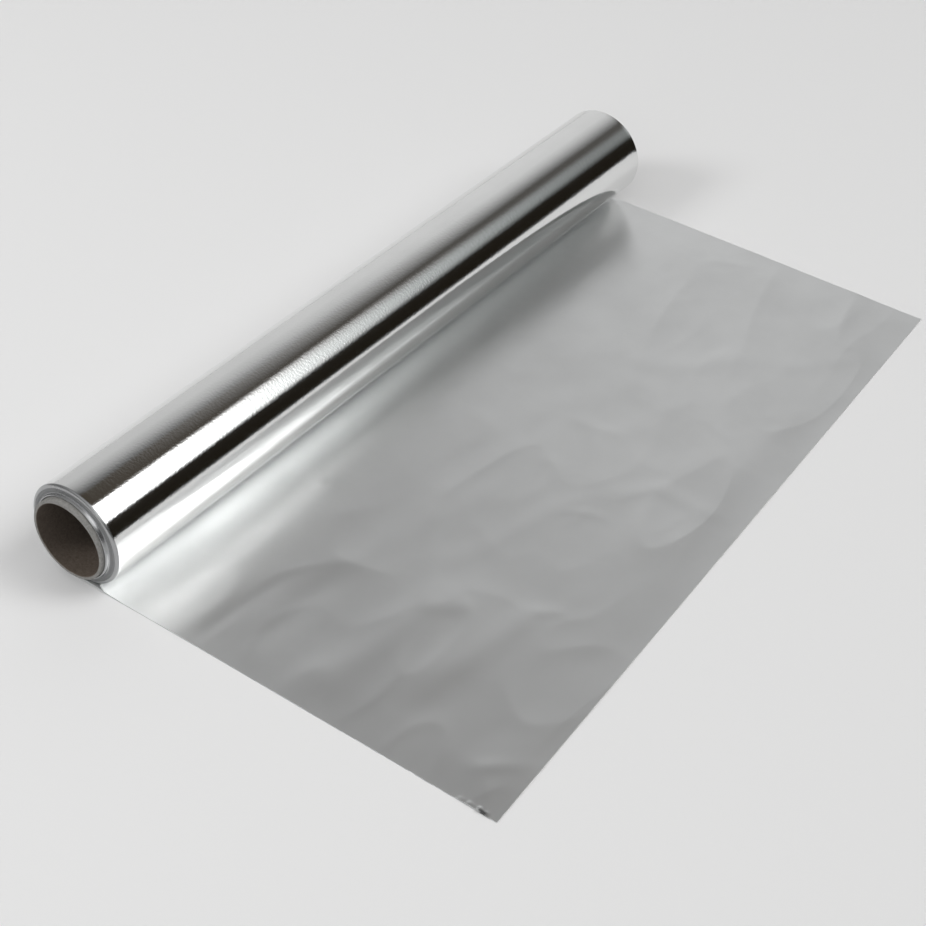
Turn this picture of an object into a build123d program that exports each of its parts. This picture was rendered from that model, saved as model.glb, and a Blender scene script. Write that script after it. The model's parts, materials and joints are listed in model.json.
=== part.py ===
from build123d import *

import math
import os

# Household aluminium foil roll, partly pulled out, in millimetres.
# The roll's axis is Y, the loose sheet is pulled out along +X, and +Z is up.
# The origin is on the axis of the core's bore, halfway along the core.

# Core: a paperboard tube, a little longer than the web of foil
core_length = 305.0
bore_diameter = 26.2
core_wall = 1.2
core_edge_round = 0.25

# Wound turns of foil
web_width = 300.0
wound_depth = 3.65
winding_clearance = 0.05
flat_spot_depth = 0.3
turn_bundles = 4
bundle_bulge = 0.07

# Near end of the turns: the first turns stand out as a lip, the last ones are rounded off
lip_width = 0.6
lip_reach = 1.2
shoulder_round = 0.75

# Sideways creep of the web: turns lie this far towards +Y of the middle
near_face_shift = 0.5
far_inner_shift = -0.5
far_outer_shift = 1.2

# Loose sheet lying flat in front of the roll
sheet_thickness = 0.3
pull_near_side = 158.8
pull_far_side = 147.9
pull_drift = 0.8
near_edge_sag = 0.35

bore_radius = bore_diameter / 2
core_radius = bore_radius + core_wall
winding_radius = core_radius + winding_clearance
roll_radius = winding_radius + wound_depth
floor_z = -(roll_radius - flat_spot_depth)


def core_tube():
    """Paperboard tube, open at both ends, with softened mouth edges."""
    half = core_length / 2
    with BuildSketch() as wall:
        with Locations(((bore_radius + core_radius) / 2, 0)):
            RectangleRounded(core_wall, 2 * half, core_edge_round)
    return revolve(wall.sketch, Axis.Y)


def dish_point(share):
    """A point (radius, y) of the far end face; share 0 is at the core, 1 at the outermost turn.

    The crept turns leave the face slightly hollow.
    """
    radius = winding_radius + wound_depth * share
    shift = far_inner_shift + (far_outer_shift - far_inner_shift) * share**2
    return radius, web_width / 2 + shift


def bundle_arcs(face_point, outward):
    """Low rounded ridges from the core outwards, each one the edges of a bundle of turns."""
    arcs = []
    for step in range(turn_bundles):
        start = face_point(step / turn_bundles)
        end = face_point((step + 1) / turn_bundles)
        radius, y = face_point((step + 0.5) / turn_bundles)
        arcs.append(ThreePointArc(start, (radius, y + outward * bundle_bulge), end))
    return arcs


def near_end():
    """Outline (radius, y) of the near end from the core out: lip, ridged face and rounded shoulder."""
    face_y = -web_width / 2 + near_face_shift
    lip_y = face_y - lip_reach
    lip_radius = winding_radius + lip_width
    face_radius = roll_radius - shoulder_round

    def face_point(share):
        return lip_radius + (face_radius - lip_radius) * share, face_y

    tip = (winding_radius + lip_width / 2, lip_y - lip_width / 4)
    lip = Polyline((winding_radius, lip_y), tip, (lip_radius, lip_y), (lip_radius, face_y))
    inset = shoulder_round * (1 - math.sqrt(0.5))
    shoulder_middle = (roll_radius - inset, face_y + inset)
    shoulder = ThreePointArc((face_radius, face_y), shoulder_middle, (roll_radius, face_y + shoulder_round))
    return [*lip.edges(), *bundle_arcs(face_point, -1), shoulder]


def wound_turns():
    """The turns of foil on the core, as one solid ring with ridged ends."""
    near = near_end()
    far = bundle_arcs(dish_point, 1)
    outside = Line(near[-1] @ 1, far[-1] @ 1)
    inside = Line(near[0] @ 0, far[0] @ 0)
    ring = revolve(make_face(Wire(near + [outside] + far + [inside])), Axis.Y)
    size = 2 * roll_radius
    below = Box(size, 2 * web_width, size, align=(Align.CENTER, Align.CENTER, Align.MAX))
    return ring - below.moved(Location((0, 0, floor_z)))


def loose_sheet():
    """The pulled-out end of the web, cut a little askew and lying on the surface below."""
    near_start = (0, -web_width / 2)
    near_corner = (pull_near_side, -web_width / 2 + pull_drift)
    far_corner = (pull_far_side, web_width / 2 + pull_drift)
    far_start = (0, web_width / 2)
    near_edge = SagittaArc(near_start, near_corner, near_edge_sag)
    rest = Polyline(near_corner, far_corner, far_start, near_start)
    outline = make_face(near_edge.edges() + rest.edges())
    return extrude(outline, sheet_thickness).moved(Location((0, 0, floor_z)))


def foil():
    """Turns and loose sheet, one continuous web of foil."""
    return wound_turns() + loose_sheet()


os.makedirs("parts", exist_ok=True)
export_step(core_tube(), "parts/core_tube.step")
export_step(foil(), "parts/foil.step")
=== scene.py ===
"""Looks of the aluminium foil roll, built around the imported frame.

Lengths are in metres, and in millimetres where a comment says so.
"""

import json
import math
import random

import bpy
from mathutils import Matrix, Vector, noise


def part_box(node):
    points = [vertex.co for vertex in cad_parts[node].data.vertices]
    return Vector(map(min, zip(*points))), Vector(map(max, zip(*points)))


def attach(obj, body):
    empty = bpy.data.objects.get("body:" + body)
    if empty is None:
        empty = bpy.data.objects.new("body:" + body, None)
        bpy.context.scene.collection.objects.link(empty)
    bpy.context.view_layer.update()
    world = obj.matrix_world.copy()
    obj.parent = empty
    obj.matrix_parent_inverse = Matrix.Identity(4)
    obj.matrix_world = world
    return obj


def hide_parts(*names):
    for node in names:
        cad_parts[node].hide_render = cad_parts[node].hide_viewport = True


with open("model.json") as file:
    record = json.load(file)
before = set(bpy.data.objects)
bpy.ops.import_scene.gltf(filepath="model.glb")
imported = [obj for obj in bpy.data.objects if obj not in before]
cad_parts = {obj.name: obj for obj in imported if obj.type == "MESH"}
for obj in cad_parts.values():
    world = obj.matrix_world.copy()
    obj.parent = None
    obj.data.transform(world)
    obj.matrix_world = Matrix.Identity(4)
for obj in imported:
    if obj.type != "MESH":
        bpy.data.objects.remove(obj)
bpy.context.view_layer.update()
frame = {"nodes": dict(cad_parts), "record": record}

MM = 0.001
SEED = 11
# How far apart the noise of two seeds lies
SEED_STEP = (7.3, -3.1, 1.7)

# Sizes read from the frame
FOIL_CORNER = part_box("foil")[0]
FLOOR_Z = FOIL_CORNER.z
ROLL_RADIUS = -FOIL_CORNER.x
CORE_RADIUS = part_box("core_tube")[1].x
BORE_RADIUS = frame["record"]["mounts"][0]["dims"]["r_mm"] * MM

# Web of foil
WEB_HALF = 150 * MM
SHEET_THICKNESS = 0.05 * MM
PULL_NEAR = 158.8 * MM
PULL_FAR = 147.9 * MM
PULL_DRIFT = 0.8 * MM
TUCK = 2.4 * MM
NEAR_SAG = 0.35 * MM

# Wound turns
WINDING_RADIUS = CORE_RADIUS + 0.05 * MM
TURN_EDGES = 30
ROUND_STEPS = 288
LENGTH_STEPS = 150
# Lip of the first turns at the near end: radius and y of its outline, in millimetres
NEAR_LIP = (
    (14.35, -150.55), (14.42, -150.82), (14.6, -150.9), (14.8, -150.82),
    (14.93, -150.55), (15.0, -150.1), (15.08, -149.78), (15.25, -149.6),
)
FACE_RISE = 0.15 * MM
SHOULDER = 1.15 * MM
SHOULDER_LENGTH = 0.9 * MM
SHOULDER_STEPS = 8
NEAR_RAGGED = 0.035 * MM
FAR_RAGGED = 0.04 * MM
FAR_INNER_Y = WEB_HALF - 0.5 * MM
FAR_OUTER_Y = WEB_HALF + 1.2 * MM
FAR_RIM = 0.08 * MM
# The inner turns of the near end have crept most: how far, towards which angle and within which depth
CREEP = 0.45 * MM
CREEP_TURN = math.radians(40)
CREEP_DEPTH = 1.6 * MM
# Shallow dents of the outside: depth, length, how closely they follow round the roll, and seed
DENT = 0.010 * MM
DENT_LENGTH = 40 * MM
DENT_ROUND, DENT_TWIST, DENT_SEED = 6, 5, 3

# Steps of the loose sheet in millimetres, fine ones between two places across and along
SHEET_STEP = 1.1
FINE_STEP = 0.36
FINE_ACROSS = (-150, -145)
FINE_ALONG = (142, 157)

# Unevenness of the loose sheet in millimetres: heights, and shapes as length across, length along and seed
SWELL, SWELL_SHAPE = 0.36, (46, 105, 1)
RIDGES, RIDGE_SHAPE = 0.42, (30, 74, 2)
FINE_RIDGES, FINE_RIDGE_SHAPE = 0.11, (17, 33, 7)
MOTTLE, MOTTLE_SHAPE = 0.02, (10, 14, 4)
BEND_X, BEND_X_SHAPE = 5, (30, 34, 5)
BEND_Y, BEND_Y_SHAPE = 8, (28, 40, 6)
RIDGE_NARROWING, RIDGE_POWER = 2.2, 1.5

# A pair whose name ends in FROM is a place where a change starts and the length over which it is made,
# both in millimetres. An edge keeps a share of the unevenness, which is back in full within a reach.
CALMER, CALMER_FROM = 0.42, (-95, 40)
UNEVEN_FROM = (12, 36)
EDGE_LIFT, EDGE_REACH = 0.45, 16

# Soft creases in millimetres: start x, y, end x, y, height and half width
CREASES = (
    (89, -72, 100, -29, 0.13, 4.5), (100, -29, 118, -1, 0.11, 3.6), (118, -1, 147, 3, 0.13, 3.6),
    (84, -150, 92, -95, 0.30, 6.5), (92, -95, 102, -90, 0.14, 4.0), (112, -118, 120, -76, 0.24, 6.0),
    (120, -76, 129, -71, 0.10, 3.4), (46, -152, 50, -112, -0.20, 4.0), (65, -136, 66, -100, -0.22, 5.0),
    (77, 14, 96, 15, 0.10, 3.2), (96, 15, 101, 48, 0.11, 3.5), (112, 43, 129, 35, 0.10, 3.2),
    (29, -71, 35, -68, 0.07, 1.5), (103, -30, 113, -24, 0.09, 1.8), (107, -24, 108, -33, 0.07, 1.5),
    (63, 129, 83, 141, 0.12, 3.2), (70, 134, 78, 128, 0.07, 1.8), (142, -135, 157, -126, 0.11, 3.0),
    (133, 60, 146, 88, 0.12, 4.0), (60, 62, 74, 100, 0.13, 5.0), (52, -20, 78, 40, 0.14, 6.0),
    (76, 60, 108, 84, 0.15, 5.0), (118, 84, 140, 112, 0.12, 5.0), (70, -78, 78, -30, 0.14, 5.5),
)
# A crease runs on past its ends and fades there, in shares of its length, and reaches aside by half widths
CREASE_OVERRUN, CREASE_FADE = 0.3, 0.5
CREASE_REACH = 3

# Crushed fold near the corner: places along the near edge and heights there, in millimetres
FOLD = (
    (144.7, 0.0), (145.1, 0.12), (147.9, 0.02), (148.3, 0.24),
    (151.6, 0.06), (152.0, 0.80), (155.6, 0.03), (156.0, 0.0),
)
FOLD_Y, FOLD_DEPTH = -149.2, 2.1
FOLD_WAVE, FOLD_WAVE_RATE = 0.3, 2.1
# Painted shade in and behind the crushed fold, as spots in millimetres: x, y, half widths across and along
# the roll, and strength
PAINTED_SHADE_SPOTS = ((153.9, -148.6, 1.6, 1.1, 0.85), (149.0, -148.3, 3.6, 0.7, 0.38))

# Tattered stretch of the near edge: depth, start, reach inwards, and length and seed of the tatters
TATTER = 0.2 * MM
TATTER_FROM = (95, 25)
TATTER_REACH = 5 * MM
TATTER_LENGTH, TATTER_SEED = 1.25 * MM, 3.3

# The sheet next to the roll, in millimetres: a short rise, a long low swell and the gap kept under the roll
RISE_FAR, RISE_NEAR, RISE_REACH = 0.12, 1.25, 15.0
RISE_NEAR_FROM = (-95, -55)
SIDE_SWELL, SIDE_TOP, SIDE_FADE = 1.8, 30.0, 42.0
SIDE_NEAR_FROM, SIDE_FAR_FROM = (-150, 130), (170, -190)
SHOULDER_FROM = (-148.6, -1)
ROLL_GAP = 0.1

# Finishes: the outside of the roll is the bright side of the web, the top of the loose sheet the dull one
BRIGHT = {
    "colour": (0.90, 0.905, 0.90), "roughness": 0.092, "stretch": 0.4, "turned": 0.25, "bump": 1.0,
    "lines": 0.4, "line_scale": (330.0, 950.0, 1.0),
    "mottle": 0.8, "mottle_scale": 1100.0, "smudge": 0.02,
}
DULL = {
    "colour": (0.85, 0.86, 0.86), "roughness": 0.295, "stretch": 0.72, "turned": 0.0, "bump": 0.12,
    "lines": 0.25, "line_scale": (45.0, 3800.0, 1.0),
    "mottle": 0.75, "mottle_scale": 700.0, "smudge": 0.035,
}
# Lip and shoulder of the near end: packed turns whose colour, about half the foil's, is painted shade
RIM = {
    "colour": (0.46, 0.465, 0.47), "roughness": 0.25, "stretch": 0.0, "turned": 0.0, "bump": 0.3,
    "lines": 0.4, "line_scale": (45.0, 3800.0, 1.0),
    "mottle": 0.6, "mottle_scale": 1500.0, "smudge": 0.03,
}
GRAIN_DEPTH = 0.02 * MM
SMUDGE_SCALE, SMUDGE_RANGE = 38.0, (0.35, 0.75)
SMUDGE_SHADE = 0.965
# Painted shade of the crushed fold: the share the colour darkens to, the amount added to the grain's height
# before it scales the mask, and the mask's range
PAINTED_SHADE_DARKEST, PAINTED_SHADE_EVENNESS, PAINTED_SHADE_RANGE = 0.16, 0.5, (0.05, 0.8)

# Edges of the turns, darker than the foil as painted shade of the light trapped between them; every shade is
# a place on the scale of the rings and a colour
EDGE_SHADES = ((0.3, (0.25, 0.254, 0.258)), (0.75, (0.58, 0.586, 0.592)))
EDGE_ROUGHNESS, EDGE_STRETCH, EDGE_TURNED = 0.62, 0.8, 0.25
EDGE_RINGS = 9.0
EDGE_BUMP, EDGE_DEPTH = 0.5, 0.04 * MM

# Paperboard of the core
BOARD_GREYS = ((0.25, (0.17, 0.167, 0.16)), (0.75, (0.33, 0.324, 0.31)))
BOARD_BROWNS = ((0.25, (0.088, 0.071, 0.057)), (0.75, (0.165, 0.134, 0.110)))
FIBRE_SCALE = 1100.0
SPECK_COLOUR, SPECK_STRENGTH, SPECK_RANGE = (0.72, 0.68, 0.62, 1), 0.45, (0.12, 0.28)
BOARD_ROUGHNESS, BOARD_GLOSS = 0.9, 0.25
BOARD_BUMP, BOARD_DEPTH = 0.4, 0.06 * MM
PLY_PITCH = 88 * MM
PLY_RINGS, PLY_HEIGHT = 6.0, 0.6
SEAM_COLOUR, SEAM_WIDTH = (0.03, 0.024, 0.018, 1), 0.012
# Radii in millimetres: where the inside ply starts to fade, and where its seam and its brown are gone
INNER_PLY = BORE_RADIUS / MM + 0.05
INNER_PLY_SEAM = BORE_RADIUS / MM + 0.1
INNER_PLY_BROWN = BORE_RADIUS / MM + 0.3

# Surroundings as bands round the roll's axis: angle in degrees from +X towards +Z, then a colour.
# The bands seen towards the roll's near end and towards its far end differ, and blend in between.
NEAR_VIEW, FAR_VIEW = 0.51, 0.72
BEHIND_VIEW, FRONT_VIEW = -0.1, 0.35
BLACK = (0.0122, 0.0101, 0.0072)
BROWN = (0.056, 0.047, 0.037)
GREY = (0.080, 0.076, 0.071)
BANDS_NEAR = (
    (0, BLACK), (34, BLACK), (40, BROWN), (104, BROWN), (111, 0.12),
    (121, 0.26), (131, 0.39), (150, 0.54), (180, 0.56),
)
BANDS_FAR = (
    (0, BLACK), (36, BLACK), (70, GREY), (80, GREY), (90, 0.225),
    (100, 0.38), (111, 0.52), (125, 0.64), (150, 0.66), (180, 0.66),
)
BANDS_BEHIND = (
    (0, 0.10), (33, 0.10), (44, 1.20), (66, 1.05), (84, 0.48),
    (120, 0.50), (138, 0.34), (158, 0.22), (180, 0.20),
)
STRIP_NEAR = ((0, 0.0), (31, 0.0), (38, 1.0), (68, 1.0), (75, 0.0))
STRIP_FAR = (
    (0, 0.0), (30, 0.0), (41, (0.74, 0.80, 0.81)), (49, (0.88, 0.95, 0.96)),
    (58, (0.73, 0.79, 0.80)), (70, 0.0),
)
# Brightness of the long lamp, by the share of the view that runs along the roll
STRIP_LEVEL = (
    (0.0, 1.6), (0.2, 3.2), (0.42, 5.2), (0.50, 3.9), (0.55, 2.3),
    (0.585, 1.15), (0.62, 0.74), (0.67, 0.42), (0.76, 0.16),
)
BACKDROP = 0.54

# Table: its own shade, then a painted reflection of it as the foil mirrors it, a little darker table and a
# dark room painted past a line, and where those two meet
FLOOR_SIZE = 60
FLOOR_GAP = 0.02 * MM
FLOOR_SHADE, FLOOR_ROUGHNESS, FLOOR_GLOSS = 0.80, 0.7, 0.2
PAINTED_TABLE_IN_FOIL, PAINTED_ROOM_IN_FOIL = 0.75, 0.02
PAINTED_ROOM_EDGE = (0.75, 1.1)

# Lamps: place, size and power
KEY_LAMP = ((-0.75, -1.05, 0.9), 0.5, 7.8)
FILL_LAMP = ((0.6, 0.3, 1.2), 0.9, 2)

# Camera: place, turn in degrees, and lens and sensor width in millimetres
CAMERA_PLACE = (0.32640, -0.42805, 0.38073)
CAMERA_TURN = (50.2206, -2.5378, 35.7416)
CAMERA_LENS = 71.22
CAMERA_SENSOR = 36
CAMERA_REACH = (0.01, 50)


def smooth(share):
    """A share held between 0 and 1, with a soft start and a soft end."""
    share = min(max(share, 0.0), 1.0)
    return share * share * (3 - 2 * share)


def rise(value, start, length):
    """Goes softly from 0 to 1 while the value goes on from start by length, which may be negative."""
    return smooth((value - start) / length)


def web_noise(x, y, across, along, seed):
    """Smooth noise from about -1 to 1; across and along are the lengths of one swell, in the unit of x."""
    step_x, step_y, step_z = SEED_STEP
    return noise.noise(Vector((x / across + seed * step_x, y / along + seed * step_y, seed * step_z)))


def mesh_piece(name, points, faces, uvs, material):
    """A mesh object with a UV map named web, given per vertex in metres along and across the web."""
    mesh = bpy.data.meshes.new(name)
    mesh.from_pydata(points, [], faces)
    layer = mesh.uv_layers.new(name="web")
    for loop in mesh.loops:
        layer.data[loop.index].uv = uvs[loop.vertex_index]
    mesh.polygons.foreach_set("use_smooth", [True] * len(mesh.polygons))
    mesh.materials.append(material)
    mesh.update()
    piece = bpy.data.objects.new(name, mesh)
    bpy.context.scene.collection.objects.link(piece)
    return piece


# Node helpers

def new_material(name):
    """A material with one surface shader; gives the material, its node tree and the shader."""
    material = bpy.data.materials.new(name)
    material.use_nodes = True
    tree = material.node_tree
    tree.nodes.clear()
    shader = tree.nodes.new("ShaderNodeBsdfPrincipled")
    output = tree.nodes.new("ShaderNodeOutputMaterial")
    tree.links.new(shader.outputs["BSDF"], output.inputs["Surface"])
    return material, tree, shader


def join(tree, socket, value):
    """Sets a socket to a value, or links it where the value comes out of another node."""
    if isinstance(value, bpy.types.NodeSocket):
        tree.links.new(value, socket)
    else:
        socket.default_value = value


def add(tree, kind, **settings):
    """A node with its settings; a setting whose name is an input's gives that input's value."""
    node = tree.nodes.new(kind)
    for key, value in settings.items():
        if hasattr(node, key):
            setattr(node, key, value)
        else:
            join(tree, node.inputs[key], value)
    return node


def maths(tree, operation, *values):
    """The result of one sum on one or two values."""
    node = add(tree, "ShaderNodeMath", operation=operation)
    for socket, value in zip(node.inputs, values):
        join(tree, socket, value)
    return node.outputs[0]


def spread(tree, value, low, high, first=0.0, last=1.0):
    """A number going from first to last while the value goes from low to high."""
    fade = tree.nodes.new("ShaderNodeMapRange")
    limits = {"Value": value, "From Min": low, "From Max": high, "To Min": first, "To Max": last}
    for title, limit in limits.items():
        join(tree, fade.inputs[title], limit)
    return fade.outputs["Result"]


def tone(colour, share=1.0):
    """A colour or a grey, made darker to the given share, as a socket takes it."""
    levels = (colour,) * 3 if isinstance(colour, (int, float)) else colour
    return (*[level * share for level in levels], 1)


def colour_ramp(tree, factor, stops, full_scale=1):
    """A ramp over the factor; every stop is a place on the scale and a grey or a colour."""
    ramp = tree.nodes.new("ShaderNodeValToRGB")
    elements = ramp.color_ramp.elements
    while len(elements) < len(stops):
        elements.new(0.5)
    for element, (place, colour) in zip(elements, stops):
        element.position = place / full_scale
        element.color = tone(colour)
    tree.links.new(factor, ramp.inputs["Fac"])
    return ramp.outputs["Color"]


def mixed(tree, factor, first, second, kind="MIX"):
    """The first colour going to the second by the factor, or multiplied by it or added to it."""
    mix = add(tree, "ShaderNodeMix", data_type="RGBA", blend_type=kind)
    join(tree, mix.inputs["Factor"], factor)
    join(tree, mix.inputs[6], first)
    join(tree, mix.inputs[7], second)
    return mix.outputs[2]


def blend(tree, value, low, high, first, second):
    """Colour going from first to second while the value goes from low to high."""
    return mixed(tree, spread(tree, value, low, high), first, second)


def add_bumps(tree, shader, height, strength, depth):
    """Bumps of the surface, from a height that changes over it; the depth is in metres."""
    bump = add(tree, "ShaderNodeBump", Strength=strength, Distance=depth, Height=height)
    tree.links.new(bump.outputs["Normal"], shader.inputs["Normal"])


# Shared effects

def effect(name, inputs, outputs):
    """An empty node group with named inputs and outputs, each a name and a socket type."""
    group = bpy.data.node_groups.new(name, "ShaderNodeTree")
    for direction, sockets in (("INPUT", inputs), ("OUTPUT", outputs)):
        for title, kind in sockets.items():
            group.interface.new_socket(title, in_out=direction, socket_type=kind)
    return group, group.nodes.new("NodeGroupInput"), group.nodes.new("NodeGroupOutput")


def use(tree, group, vector, **values):
    """A node that applies a group, with its vector linked and its other inputs set."""
    node = add(tree, "ShaderNodeGroup", node_tree=group)
    tree.links.new(vector, node.inputs["Vector"])
    for title, value in values.items():
        node.inputs[title.replace("_", " ")].default_value = value
    return node


def rolling_grain():
    """Fine lines along the web from the rolling mill, and a mottle; gives a height and a mask of smudges."""
    group, inside, outside = effect(
        "rolling_grain",
        {"Vector": "NodeSocketVector", "Lines": "NodeSocketFloat", "Line Scale": "NodeSocketVector",
         "Mottle": "NodeSocketFloat", "Mottle Scale": "NodeSocketFloat"},
        {"Height": "NodeSocketFloat", "Smudge": "NodeSocketFloat"})
    place = inside.outputs["Vector"]
    stretch = add(group, "ShaderNodeVectorMath", operation="MULTIPLY")
    group.links.new(place, stretch.inputs[0])
    group.links.new(inside.outputs["Line Scale"], stretch.inputs[1])
    lines = add(group, "ShaderNodeTexNoise", noise_dimensions="2D", Vector=stretch.outputs["Vector"],
                Scale=1.0, Detail=3.0)
    mottle = add(group, "ShaderNodeTexNoise", noise_dimensions="2D", Vector=place,
                 Scale=inside.outputs["Mottle Scale"], Detail=3.0)
    height = maths(group, "ADD", maths(group, "MULTIPLY", lines.outputs["Fac"], inside.outputs["Lines"]),
                   maths(group, "MULTIPLY", mottle.outputs["Fac"], inside.outputs["Mottle"]))
    group.links.new(height, outside.inputs["Height"])
    smudge = add(group, "ShaderNodeTexNoise", noise_dimensions="2D", Vector=place,
                 Scale=SMUDGE_SCALE, Detail=4.0, Roughness=0.6)
    group.links.new(spread(group, smudge.outputs["Fac"], *SMUDGE_RANGE), outside.inputs["Smudge"])
    return group


def axis_distance():
    """Distance of a point from the roll's axis, in millimetres."""
    group, inside, outside = effect(
        "axis_distance", {"Vector": "NodeSocketVector"}, {"Radius": "NodeSocketFloat"})
    parts = add(group, "ShaderNodeSeparateXYZ", Vector=inside.outputs["Vector"])
    square = maths(group, "ADD", maths(group, "MULTIPLY", parts.outputs["X"], parts.outputs["X"]),
                   maths(group, "MULTIPLY", parts.outputs["Z"], parts.outputs["Z"]))
    radius = maths(group, "MULTIPLY", maths(group, "SQRT", square), 1 / MM)
    group.links.new(radius, outside.inputs["Radius"])
    return group


def board_fibres():
    """Short fibres and specks of recycled paperboard."""
    group, inside, outside = effect(
        "board_fibres", {"Vector": "NodeSocketVector", "Scale": "NodeSocketFloat"},
        {"Fibres": "NodeSocketFloat", "Specks": "NodeSocketFloat"})
    place, scale = inside.outputs["Vector"], inside.outputs["Scale"]
    fibres = add(group, "ShaderNodeTexNoise", Vector=place, Scale=scale,
                 Detail=6.0, Roughness=0.65, Distortion=0.8)
    group.links.new(fibres.outputs["Fac"], outside.inputs["Fibres"])
    specks = add(group, "ShaderNodeTexVoronoi", Vector=place, Scale=scale, Randomness=1.0)
    speck = spread(group, specks.outputs["Distance"], *SPECK_RANGE, 1.0, 0.0)
    group.links.new(speck, outside.inputs["Specks"])
    return group


# Foil

def foil_material(name, finish):
    """Rolled aluminium with the given finish."""
    material, tree, shader = new_material(name)
    shader.inputs["Metallic"].default_value = 1.0
    shader.inputs["Anisotropic"].default_value = finish["stretch"]
    shader.inputs["Anisotropic Rotation"].default_value = finish["turned"]
    uv = add(tree, "ShaderNodeUVMap", uv_map="web")
    grain = use(tree, GRAIN, uv.outputs["UV"], Lines=finish["lines"], Line_Scale=finish["line_scale"],
                Mottle=finish["mottle"], Mottle_Scale=finish["mottle_scale"])
    height, smudge = grain.outputs["Height"], grain.outputs["Smudge"]
    add_bumps(tree, shader, height, finish["bump"], GRAIN_DEPTH)
    rough = maths(tree, "ADD", maths(tree, "MULTIPLY", smudge, finish["smudge"]), finish["roughness"])
    tree.links.new(rough, shader.inputs["Roughness"])
    tint = mixed(tree, smudge, tone(finish["colour"]), tone(finish["colour"], SMUDGE_SHADE))
    # Painted shade: the colour goes darker where a mesh carries the painted fold shade, unevenly with the
    # grain
    painted_fold_shade = add(tree, "ShaderNodeAttribute", attribute_name="painted_fold_shade")
    painted_shade_mask = maths(tree, "MULTIPLY", painted_fold_shade.outputs["Fac"], maths(tree, "ADD", height, PAINTED_SHADE_EVENNESS))
    shade = blend(tree, painted_shade_mask, *PAINTED_SHADE_RANGE, tint, tone(finish["colour"], PAINTED_SHADE_DARKEST))
    tree.links.new(shade, shader.inputs["Base Color"])
    tangent = add(tree, "ShaderNodeTangent", direction_type="UV_MAP", uv_map="web")
    tree.links.new(tangent.outputs["Tangent"], shader.inputs["Tangent"])
    return material


def turn_edge_material():
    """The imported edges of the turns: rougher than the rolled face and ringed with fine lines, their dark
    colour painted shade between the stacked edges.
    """
    material, tree, shader = new_material("foil_turn_edges_painted_shade")
    shader.inputs["Metallic"].default_value = 1.0
    shader.inputs["Roughness"].default_value = EDGE_ROUGHNESS
    shader.inputs["Anisotropic"].default_value = EDGE_STRETCH
    shader.inputs["Anisotropic Rotation"].default_value = EDGE_TURNED
    round_the_axis = add(tree, "ShaderNodeTangent", direction_type="RADIAL", axis="Y")
    tree.links.new(round_the_axis.outputs["Tangent"], shader.inputs["Tangent"])
    place = tree.nodes.new("ShaderNodeTexCoord")
    radius = use(tree, AXIS_DISTANCE, place.outputs["Object"])
    rings = add(tree, "ShaderNodeTexNoise", noise_dimensions="1D", W=radius.outputs["Radius"],
                Scale=EDGE_RINGS, Detail=2.0)
    # Painted shade: the ring colours are far darker than the foil, with a real ring-by-ring variation
    tree.links.new(colour_ramp(tree, rings.outputs["Fac"], EDGE_SHADES), shader.inputs["Base Color"])
    add_bumps(tree, shader, rings.outputs["Fac"], EDGE_BUMP, EDGE_DEPTH)
    return material


def near_profile():
    """(radius, y) points of the near end from the core out: lip of the first turns, face and shoulder."""
    rng = random.Random(SEED)
    points = [(radius * MM, y * MM) for radius, y in NEAR_LIP]
    first_radius, first_y = points[-1]
    start = ROLL_RADIUS - SHOULDER
    for step in range(1, TURN_EDGES + 1):
        share = step / TURN_EDGES
        ragged = rng.uniform(-NEAR_RAGGED, NEAR_RAGGED) if step < TURN_EDGES else 0.0
        points.append((first_radius + (start - first_radius) * share, first_y + FACE_RISE * share + ragged))
    corner_y = points[-1][1]
    for step in range(1, SHOULDER_STEPS + 1):
        angle = step / SHOULDER_STEPS * math.pi / 2
        y = corner_y + SHOULDER_LENGTH * (1 - math.cos(angle))
        points.append((start + SHOULDER * math.sin(angle), y))
    return points


def far_profile():
    """(radius, y) points of the far end from the core out: a shallow dish with a crisp rim."""
    rng = random.Random(SEED + 1)
    depth = ROLL_RADIUS - WINDING_RADIUS
    points = []
    for step in range(TURN_EDGES + 1):
        share = step / TURN_EDGES
        ragged = rng.uniform(-FAR_RAGGED, FAR_RAGGED) if 0 < step < TURN_EDGES else 0.0
        y = FAR_INNER_Y + (FAR_OUTER_Y - FAR_INNER_Y) * share**2 + ragged
        points.append((WINDING_RADIUS + depth * share, y))
    return points


def outside_profile(start, stop):
    """(radius, y) points along the outside of the roll, the last one close to the far rim."""
    points = [(ROLL_RADIUS, start + (stop - start) * step / LENGTH_STEPS) for step in range(1, LENGTH_STEPS)]
    return points + [(ROLL_RADIUS, stop - FAR_RIM)]


def near_tilt(radius, angle):
    """How far the near edge of a turn creeps along the roll at this angle, most at the inner turns."""
    inward = 1 - rise(radius, WINDING_RADIUS, CREEP_DEPTH)
    return -CREEP * math.cos(angle + CREEP_TURN) * inward


def dent_depth(angle, y):
    """Depth of the shallow dents in the outside of the roll."""
    round_the_roll = ROLL_RADIUS * DENT_ROUND * math.cos(angle)
    along = y + DENT_TWIST * math.sin(angle) * ROLL_RADIUS
    return DENT * (1 + web_noise(round_the_roll, along, DENT_LENGTH, DENT_LENGTH, DENT_SEED))


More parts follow.
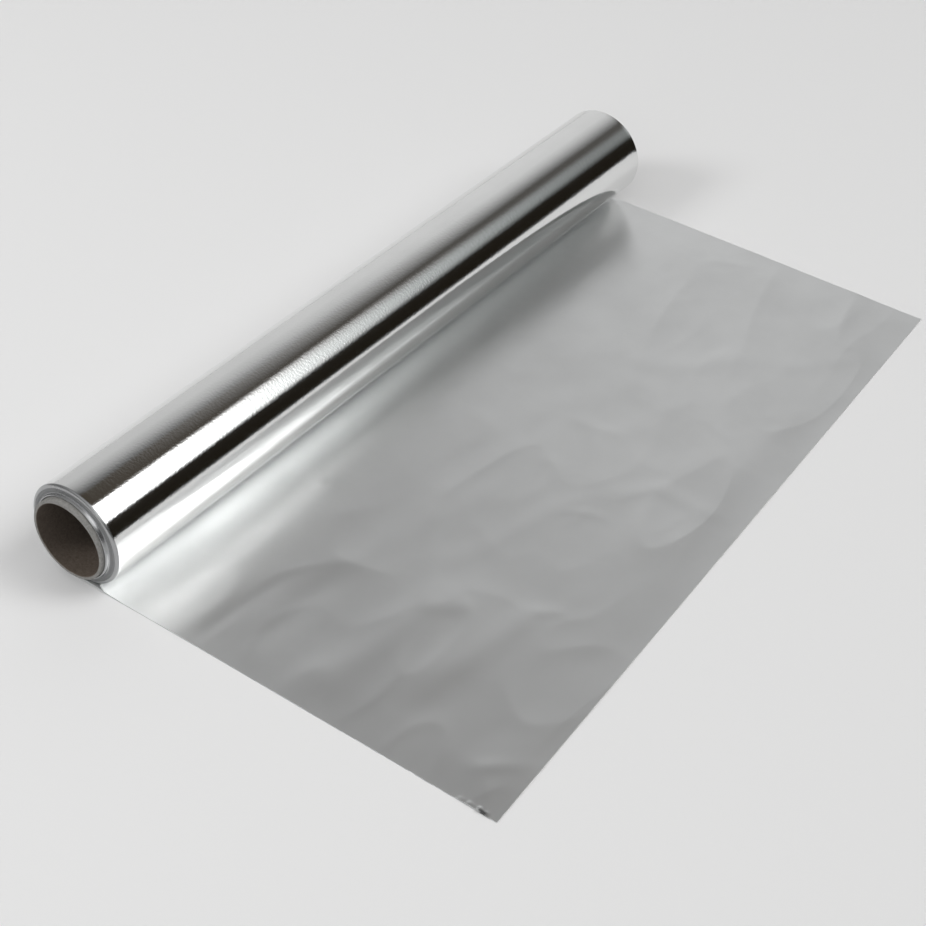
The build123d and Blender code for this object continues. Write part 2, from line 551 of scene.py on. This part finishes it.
def make_wound_turns(bright, edges, rim):
    """The turns on the core: near end, outside, far end and the inside against the core."""
    near, far = near_profile(), far_profile()
    outside = outside_profile(near[-1][1], far[-1][1])
    profile = near + outside + far[::-1]
    rings = len(profile)
    near_end = len(near)
    outside_end = near_end + len(outside)
    face_start = len(NEAR_LIP) - 1
    face_end = face_start + TURN_EDGES
    points, uvs, faces, kinds = [], [], [], []
    for ring, (radius, y) in enumerate(profile):
        on_face = face_start <= ring < face_end or outside_end <= ring < rings - 1
        on_rim = ring < near_end - 1 and not on_face
        after = (ring + 1) % rings
        for step in range(ROUND_STEPS):
            angle = 2 * math.pi * step / ROUND_STEPS
            tilt = near_tilt(radius, angle) if ring < near_end else 0.0
            dent = dent_depth(angle, y) if near_end <= ring < outside_end else 0.0
            x, z = (radius - dent) * math.cos(angle), (radius - dent) * math.sin(angle)
            points.append((x, y + tilt, max(z, FLOOR_Z + SHEET_THICKNESS)))
            uvs.append((ROLL_RADIUS * angle, y + (ROLL_RADIUS - radius)))
            beside = (step + 1) % ROUND_STEPS
            faces.append((ring * ROUND_STEPS + step, ring * ROUND_STEPS + beside,
                          after * ROUND_STEPS + beside, after * ROUND_STEPS + step))
            kinds.append(1 if on_face else 2 if on_rim else 0)
    piece = mesh_piece("wound_turns", points, faces, uvs, bright)
    piece.data.materials.append(edges)
    piece.data.materials.append(rim)
    piece.data.polygons.foreach_set("material_index", kinds)
    return piece


# Loose sheet

def ridge(x, y, across, along, seed):
    """Noise from 0 to 1 that peaks in soft ridges, as of a web that has been bent and smoothed out again."""
    return max(1 - RIDGE_NARROWING * abs(web_noise(x, y, across, along, seed)), 0) ** RIDGE_POWER


def crease_lift(x, y):
    """Height of the soft creases, in millimetres; each fades at both ends."""
    lift = 0.0
    for x0, y0, x1, y1, height, width in CREASES:
        dx, dy = x1 - x0, y1 - y0
        length2 = dx * dx + dy * dy
        share = ((x - x0) * dx + (y - y0) * dy) / length2
        aside = ((x - x0) * dy - (y - y0) * dx) / math.sqrt(length2)
        if -CREASE_OVERRUN < share < 1 + CREASE_OVERRUN and abs(aside) <= CREASE_REACH * width:
            fade = rise(share, -CREASE_OVERRUN, CREASE_FADE) * rise(share, 1 + CREASE_OVERRUN, -CREASE_FADE)
            lift += height * fade * math.exp(-(aside / width) ** 2)
    return lift


def uneven_lift(x, y):
    """Height of the swells, ridges and soft creases, in millimetres."""
    bent_x = x + BEND_X * web_noise(x, y, *BEND_X_SHAPE)
    bent_y = y + BEND_Y * web_noise(x, y, *BEND_Y_SHAPE)
    calm = 1 - CALMER * rise(y, *CALMER_FROM)
    lift = SWELL * (1 + web_noise(bent_x, bent_y, *SWELL_SHAPE))
    lift += RIDGES * calm * ridge(bent_x, bent_y, *RIDGE_SHAPE)
    lift += FINE_RIDGES * calm * ridge(bent_x, bent_y, *FINE_RIDGE_SHAPE)
    lift += MOTTLE * (1 + web_noise(bent_x, bent_y, *MOTTLE_SHAPE))
    return max(lift * rise(x, *UNEVEN_FROM) + calm * crease_lift(bent_x, bent_y), 0)


def fold_lift(x, y):
    """Height of the crushed fold of the near edge, in millimetres: steep little steps that fade inwards."""
    if not FOLD[0][0] < x < FOLD[-1][0]:
        return 0.0
    for (x0, h0), (x1, h1) in zip(FOLD, FOLD[1:]):
        if x0 <= x <= x1:
            height = h0 + (h1 - h0) * (x - x0) / (x1 - x0)
            break
    wave = FOLD_WAVE * math.sin(FOLD_WAVE_RATE * x)
    return height * (1 - rise(y, FOLD_Y - wave, FOLD_DEPTH))


def lift_beside_roll(x, y):
    """Height that the sheet keeps next to the roll, in millimetres: a short rise and a long low swell."""
    near = rise(y, *RISE_NEAR_FROM)
    short = (RISE_FAR + (RISE_NEAR - RISE_FAR) * near) * math.exp(-(max(x, 0) / RISE_REACH) ** 2)
    across = rise(x, 0, SIDE_TOP) * math.exp(-(max(x - SIDE_TOP, 0) / SIDE_FADE) ** 2)
    return short + SIDE_SWELL * across * rise(y, *SIDE_NEAR_FROM) * rise(y, *SIDE_FAR_FROM)


def pulled_out(share):
    """How far the sheet is pulled out, at a share of the way from its near edge to its far edge."""
    return PULL_NEAR + (PULL_FAR - PULL_NEAR) * share


def sheet_lift(x, y):
    """Height of the loose sheet above the surface it lies on."""
    x_mm, y_mm = x / MM, y / MM
    cut = pulled_out((y + WEB_HALF) / (2 * WEB_HALF))
    edge_mm = min(y + WEB_HALF, WEB_HALF + PULL_DRIFT - y, cut - x) / MM
    lift = uneven_lift(x_mm, y_mm) * (EDGE_LIFT + (1 - EDGE_LIFT) * rise(edge_mm, 0, EDGE_REACH))
    lift += fold_lift(x_mm, y_mm) + lift_beside_roll(x_mm, y_mm)
    if x < ROLL_RADIUS:
        radius = ROLL_RADIUS - SHOULDER * rise(y_mm, *SHOULDER_FROM)
        under_roll = -FLOOR_Z - math.sqrt(max(radius**2 - x * x, 0))
        lift = min(lift, max(under_roll / MM - ROLL_GAP, 0))
    return lift * MM


def crushed(x, y):
    """How much painted shade the foil gets at a place in millimetres, from 0 to 1: at the crushed fold by the
    corner and along its tail.
    """
    total = 0.0
    for spot_x, spot_y, across, along, strength in PAINTED_SHADE_SPOTS:
        total += strength * math.exp(-((x - spot_x) / across) ** 2 - ((y - spot_y) / along) ** 2)
    return min(total, 1.0)


def sheet_place(u, v):
    """Place on the table of a point of the sheet: share u along the pull and share v from the near edge."""
    cut = pulled_out(v)
    x = -TUCK + (cut + TUCK) * u
    y = -WEB_HALF + 2 * WEB_HALF * v + PULL_DRIFT * max(x, 0) / cut
    y += NEAR_SAG * math.sin(math.pi * u) * (1 - v)
    tattered = rise(x / MM, *TATTER_FROM) * rise(2 * WEB_HALF * v, TATTER_REACH, -TATTER_REACH)
    y += TATTER * tattered * (1 + noise.noise(Vector((x / TATTER_LENGTH, TATTER_SEED, 0))))
    return x, y


def steps_with_fine_end(low, high, coarse, fine, fine_from, fine_to):
    """Places from low to high, a fine step apart between two limits and a coarse step apart elsewhere."""
    places = [low]
    while places[-1] < high - fine:
        here = places[-1]
        places.append(here + (fine if fine_from <= here <= fine_to else coarse))
    places[-1] = high
    return places


def slab_border(rows, columns):
    """Numbers of the points round the border of a grid, in order."""
    border = list(range(columns))
    border += [row * columns + columns - 1 for row in range(1, rows)]
    border += [(rows - 1) * columns + column for column in range(columns - 2, -1, -1)]
    border += [row * columns for row in range(rows - 2, 0, -1)]
    return border


def make_loose_sheet(material):
    """The pulled-out web as a thin closed slab with gentle swells, soft creases and one crushed spot that
    carries painted shade.
    """
    half = WEB_HALF / MM
    places = steps_with_fine_end(-half, half, SHEET_STEP, FINE_STEP, *FINE_ACROSS)
    lengths = steps_with_fine_end(-TUCK / MM, PULL_NEAR / MM, SHEET_STEP, FINE_STEP, *FINE_ALONG)
    top, bottom, uvs = [], [], []
    for place in places:
        for length in lengths:
            x, y = sheet_place((length * MM + TUCK) / (PULL_NEAR + TUCK), (place + half) / (2 * half))
            z = FLOOR_Z + sheet_lift(x, y)
            on_edge = place in (-half, half) or length == lengths[-1]
            bottom.append((x, y, FLOOR_Z if on_edge else z))
            top.append((x, y, z + SHEET_THICKNESS))
            uvs.append((x, y))
    rows, columns = len(places), len(lengths)
    size = columns * rows
    faces = []
    for row in range(rows - 1):
        for column in range(columns - 1):
            a = row * columns + column
            b, c, d = a + 1, a + columns + 1, a + columns
            faces.append((size + a, size + b, size + c, size + d))
            faces.append((a, d, c, b))
    border = slab_border(rows, columns)
    for here, there in zip(border, border[1:] + border[:1]):
        faces.append((here, there, size + there, size + here))
    piece = mesh_piece("loose_sheet", bottom + top, faces, uvs + uvs, material)
    rim = set(border)
    for edge in piece.data.edges:
        first, second = (index % size for index in edge.vertices)
        edge.use_edge_sharp = first in rim and second in rim and first != second
    # Painted shade at the crushed fold and its tail, kept as a value per point
    painted_fold_shade = piece.data.attributes.new("painted_fold_shade", "FLOAT", "POINT")
    painted_fold_shade.data.foreach_set("value", [crushed(x / MM, y / MM) for x, y, z in bottom + top])
    return piece


# Core

def board_material():
    """Grey recycled paperboard, with a browner inside ply and the line of the spiral winding."""
    material, tree, shader = new_material("core_board")
    shader.inputs["Roughness"].default_value = BOARD_ROUGHNESS
    shader.inputs["Specular IOR Level"].default_value = BOARD_GLOSS
    place = tree.nodes.new("ShaderNodeTexCoord").outputs["Object"]
    parts = add(tree, "ShaderNodeSeparateXYZ", Vector=place)
    board = use(tree, FIBRES, place, Scale=FIBRE_SCALE)
    fibres, specks = board.outputs["Fibres"], board.outputs["Specks"]
    radius = use(tree, AXIS_DISTANCE, place).outputs["Radius"]
    grey = colour_ramp(tree, fibres, BOARD_GREYS)
    brown = colour_ramp(tree, fibres, BOARD_BROWNS)
    plain = blend(tree, radius, INNER_PLY, INNER_PLY_BROWN, brown, grey)
    specked = mixed(tree, maths(tree, "MULTIPLY", specks, SPECK_STRENGTH), plain, SPECK_COLOUR, "MULTIPLY")
    angle = maths(tree, "ARCTAN2", parts.outputs["Z"], parts.outputs["X"])
    turn = maths(tree, "ADD", maths(tree, "DIVIDE", angle, 2 * math.pi),
                 maths(tree, "MULTIPLY", parts.outputs["Y"], 1 / PLY_PITCH))
    seam = maths(tree, "ABSOLUTE", maths(tree, "SUBTRACT", maths(tree, "FRACT", turn), 0.5))
    inside_only = blend(tree, radius, INNER_PLY, INNER_PLY_SEAM, SEAM_COLOUR, specked)
    seamed = blend(tree, seam, 0.0, SEAM_WIDTH, inside_only, specked)
    tree.links.new(seamed, shader.inputs["Base Color"])
    plies = add(tree, "ShaderNodeTexNoise", noise_dimensions="1D", W=radius, Scale=PLY_RINGS, Detail=1.0)
    height = maths(tree, "ADD", fibres, maths(tree, "MULTIPLY", plies.outputs["Fac"], PLY_HEIGHT))
    add_bumps(tree, shader, height, BOARD_BUMP, BOARD_DEPTH)
    return material


# Surroundings

def make_floor():
    """A pale table; as a painted reflection the foil mirrors it a little darker, as a table with an end, and
    a painted dark room beyond that.
    """
    bpy.ops.mesh.primitive_plane_add(size=FLOOR_SIZE, location=(0, 0, FLOOR_Z - FLOOR_GAP))
    floor = bpy.context.object
    floor.name = "floor"
    material, tree, shader = new_material("floor_white")
    shader.inputs["Roughness"].default_value = FLOOR_ROUGHNESS
    shader.inputs["Specular IOR Level"].default_value = FLOOR_GLOSS
    place = tree.nodes.new("ShaderNodeTexCoord")
    parts = add(tree, "ShaderNodeSeparateXYZ", Vector=place.outputs["Object"])
    outward = maths(tree, "ADD", parts.outputs["X"], parts.outputs["Y"])
    # Painted reflection: only glossy rays see the darker table and the dark room past a line
    mirrored = blend(tree, outward, *PAINTED_ROOM_EDGE, tone(PAINTED_TABLE_IN_FOIL), tone(PAINTED_ROOM_IN_FOIL))
    rays = tree.nodes.new("ShaderNodeLightPath")
    shade = mixed(tree, rays.outputs["Is Glossy Ray"], tone(FLOOR_SHADE), mirrored)
    tree.links.new(shade, shader.inputs["Base Color"])
    floor.data.materials.append(material)


def make_world():
    """Studio surroundings: long bands parallel to the roll, brighter towards its near end."""
    world = bpy.data.worlds.new("studio")
    bpy.context.scene.world = world
    world.use_nodes = True
    tree = world.node_tree
    tree.nodes.clear()
    place = tree.nodes.new("ShaderNodeTexCoord")
    parts = add(tree, "ShaderNodeSeparateXYZ", Vector=place.outputs["Generated"])
    along = parts.outputs["Y"]
    angle = maths(tree, "ARCTAN2", parts.outputs["Z"], parts.outputs["X"])
    turn = maths(tree, "FRACT", maths(tree, "ADD", maths(tree, "DIVIDE", angle, 2 * math.pi), 1.0))

    def bands(stops):
        return colour_ramp(tree, turn, stops, 360)

    still = blend(tree, along, NEAR_VIEW, FAR_VIEW, bands(BANDS_NEAR), bands(BANDS_FAR))
    strip = blend(tree, along, NEAR_VIEW, FAR_VIEW, bands(STRIP_NEAR), bands(STRIP_FAR))
    brightest = max(value for share_along, value in STRIP_LEVEL)
    level = colour_ramp(tree, along, [(stop, value / brightest) for stop, value in STRIP_LEVEL])
    lamp = mixed(tree, 1, strip, maths(tree, "MULTIPLY", level, brightest), "MULTIPLY")
    ahead = mixed(tree, 1, still, lamp, "ADD")
    colour = blend(tree, along, BEHIND_VIEW, FRONT_VIEW, bands(BANDS_BEHIND), ahead)
    surroundings = add(tree, "ShaderNodeBackground", Color=colour)
    backdrop = add(tree, "ShaderNodeBackground", Color=tone(BACKDROP))
    rays = tree.nodes.new("ShaderNodeLightPath")
    choose = tree.nodes.new("ShaderNodeMixShader")
    tree.links.new(rays.outputs["Is Camera Ray"], choose.inputs["Fac"])
    tree.links.new(surroundings.outputs[0], choose.inputs[1])
    tree.links.new(backdrop.outputs[0], choose.inputs[2])
    output = tree.nodes.new("ShaderNodeOutputWorld")
    tree.links.new(choose.outputs[0], output.inputs["Surface"])


def area_lamp(name, place, size, power):
    """A round soft lamp that faces the roll and isn't mirrored in the foil."""
    data = bpy.data.lights.new(name, "AREA")
    data.shape = "DISK"
    data.size = size
    data.energy = power
    lamp = bpy.data.objects.new(name, data)
    lamp.location = place
    lamp.rotation_mode = "QUATERNION"
    lamp.rotation_quaternion = (-Vector(place)).to_track_quat("-Z", "Y")
    lamp.visible_glossy = False
    bpy.context.scene.collection.objects.link(lamp)


def make_camera():
    """The camera, near the front end of the roll and above it."""
    data = bpy.data.cameras.new("camera")
    data.lens = CAMERA_LENS
    data.sensor_width = CAMERA_SENSOR
    data.clip_start, data.clip_end = CAMERA_REACH
    camera = bpy.data.objects.new("camera", data)
    camera.location = CAMERA_PLACE
    camera.rotation_euler = [math.radians(a) for a in CAMERA_TURN]
    bpy.context.scene.collection.objects.link(camera)
    bpy.context.scene.camera = camera


# Whole scene

GRAIN = rolling_grain()
AXIS_DISTANCE = axis_distance()
FIBRES = board_fibres()
bright_side = foil_material("foil_bright", BRIGHT)
dull_side = foil_material("foil_dull", DULL)

turns = make_wound_turns(bright_side, turn_edge_material(), foil_material("foil_rim_painted_shade", RIM))
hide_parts("foil")
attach(turns, "root")

sheet = make_loose_sheet(dull_side)
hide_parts("foil")
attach(sheet, "root")

core = frame["nodes"]["core_tube"]
core.data.materials.clear()
core.data.materials.append(board_material())

make_floor()
make_world()
area_lamp("key", *KEY_LAMP)
area_lamp("fill", *FILL_LAMP)
make_camera()

scene = bpy.context.scene
scene.view_settings.view_transform = "Standard"
